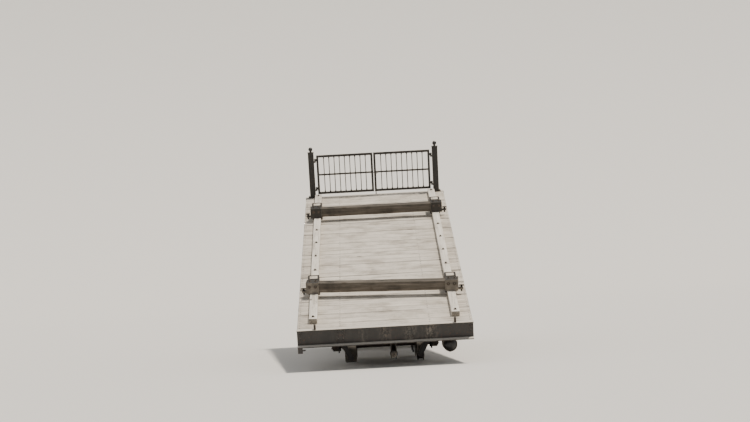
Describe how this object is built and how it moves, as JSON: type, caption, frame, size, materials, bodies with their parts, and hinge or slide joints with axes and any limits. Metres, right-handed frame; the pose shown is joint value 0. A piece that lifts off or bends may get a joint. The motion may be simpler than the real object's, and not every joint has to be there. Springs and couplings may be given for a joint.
{
  "type": "funicular platform car",
  "caption": "Platform car of a funicular: a level timber deck with kerbs, chock beams and a downhill gate, on a wedge-shaped riveted frame with two rail bogies",
  "frame": {"origin": "centre of the bounding box's base, where the wheel flanges stand on a flat floor", "axes": "+Y runs down the track, away from the picture's camera; +Z is square to the rails; +X is the picture's right. On a flat floor the deck rises 17 degrees towards +Y; on its 17 degree track the deck is level"},
  "size_m": [2.9, 8.2193, 4.1849],
  "materials": {
    "deck_timber": "weathered bare softwood boards",
    "kerb_timber": "weathered bare timber, worn pale on top",
    "chock_timber": "oil-darkened hardwood",
    "frame_steel": "old black paint with rust at edges",
    "fitting_iron": "black iron, worn bright on top",
    "gate_iron": "black paint",
    "running_gear": "black paint under grease and dust",
    "cast_boxes": "oily cast iron",
    "spring_steel": "rusty spring steel",
    "wheel_steel": "dirty discs with bright treads",
    "bare_steel": "greasy bare steel",
    "tank_paint": "black paint"
  },
  "bodies": {
    "car": {"air_tank": "tank_paint", "body_bolsters": "frame_steel", "bottom_chords": "frame_steel", "bottom_ties": "frame_steel", "brake_hangers": "frame_steel", "brake_levers": "running_gear", "brake_spindles": "bare_steel", "centre_stringer": "frame_steel", "chock_beams": "chock_timber", "chock_end_irons": "fitting_iron", "chock_screws": "bare_steel", "chock_shoes": "fitting_iron", "cross_bearers": "frame_steel", "deck_boards": "deck_timber", "gate_posts": "gate_iron", "gusset_plates": "frame_steel", "headstock_downhill": "frame_steel", "headstock_uphill": "frame_steel", "kerb_timbers": "kerb_timber", "outriggers": "frame_steel", "ramp_lugs": "fitting_iron", "rope_anchor": "running_gear", "rope_socket": "bare_steel", "side_sills": "frame_steel", "sway_braces": "frame_steel", "tank_straps": "fitting_iron", "top_chords": "frame_steel", "truss_diagonals": "frame_steel", "truss_posts": "frame_steel"},
    "bogie_1": {"bogie_1_axleboxes": "cast_boxes", "bogie_1_cross_beam": "running_gear", "bogie_1_side_frames": "running_gear", "bogie_1_springs": "spring_steel"},
    "bogie_2": {"bogie_2_axleboxes": "cast_boxes", "bogie_2_cross_beam": "running_gear", "bogie_2_side_frames": "running_gear", "bogie_2_springs": "spring_steel"},
    "gate_left": {"gate_left": "gate_iron"},
    "gate_right": {"gate_right": "gate_iron"},
    "wheelset_1": {"wheelset_1": "wheel_steel"},
    "wheelset_2": {"wheelset_2": "wheel_steel"},
    "wheelset_3": {"wheelset_3": "wheel_steel"},
    "wheelset_4": {"wheelset_4": "wheel_steel"}
  },
  "joints": [
    {"name": "bogie_1_yaw", "type": "hinge", "parent": "car", "child": "bogie_1", "pos_m": [0, -1.7579, 0.688], "axis": [0, 0, 1], "range_deg": [-3, 3]},
    {"name": "wheelset_1_spin", "type": "hinge", "parent": "bogie_1", "child": "wheelset_1", "pos_m": [0, -2.4079, 0.328], "axis": [1, 0, 0], "continuous": true},
    {"name": "wheelset_2_spin", "type": "hinge", "parent": "bogie_1", "child": "wheelset_2", "pos_m": [0, -1.1079, 0.328], "axis": [1, 0, 0], "continuous": true},
    {"name": "bogie_2_yaw", "type": "hinge", "parent": "car", "child": "bogie_2", "pos_m": [0, 2.742, 0.688], "axis": [0, 0, 1], "range_deg": [-3, 3]},
    {"name": "wheelset_3_spin", "type": "hinge", "parent": "bogie_2", "child": "wheelset_3", "pos_m": [0, 2.092, 0.328], "axis": [1, 0, 0], "continuous": true},
    {"name": "wheelset_4_spin", "type": "hinge", "parent": "bogie_2", "child": "wheelset_4", "pos_m": [0, 3.392, 0.328], "axis": [1, 0, 0], "continuous": true},
    {"name": "gate_left_swing", "type": "hinge", "parent": "car", "child": "gate_left", "pos_m": [-1.211, 3.81688, 3.62377], "axis": [0, -0.2924, 0.9563], "range_deg": [0, 90]},
    {"name": "gate_right_swing", "type": "hinge", "parent": "car", "child": "gate_right", "pos_m": [1.211, 3.81688, 3.62377], "axis": [0, 0.2924, -0.9563], "range_deg": [0, 90]}
  ]
}
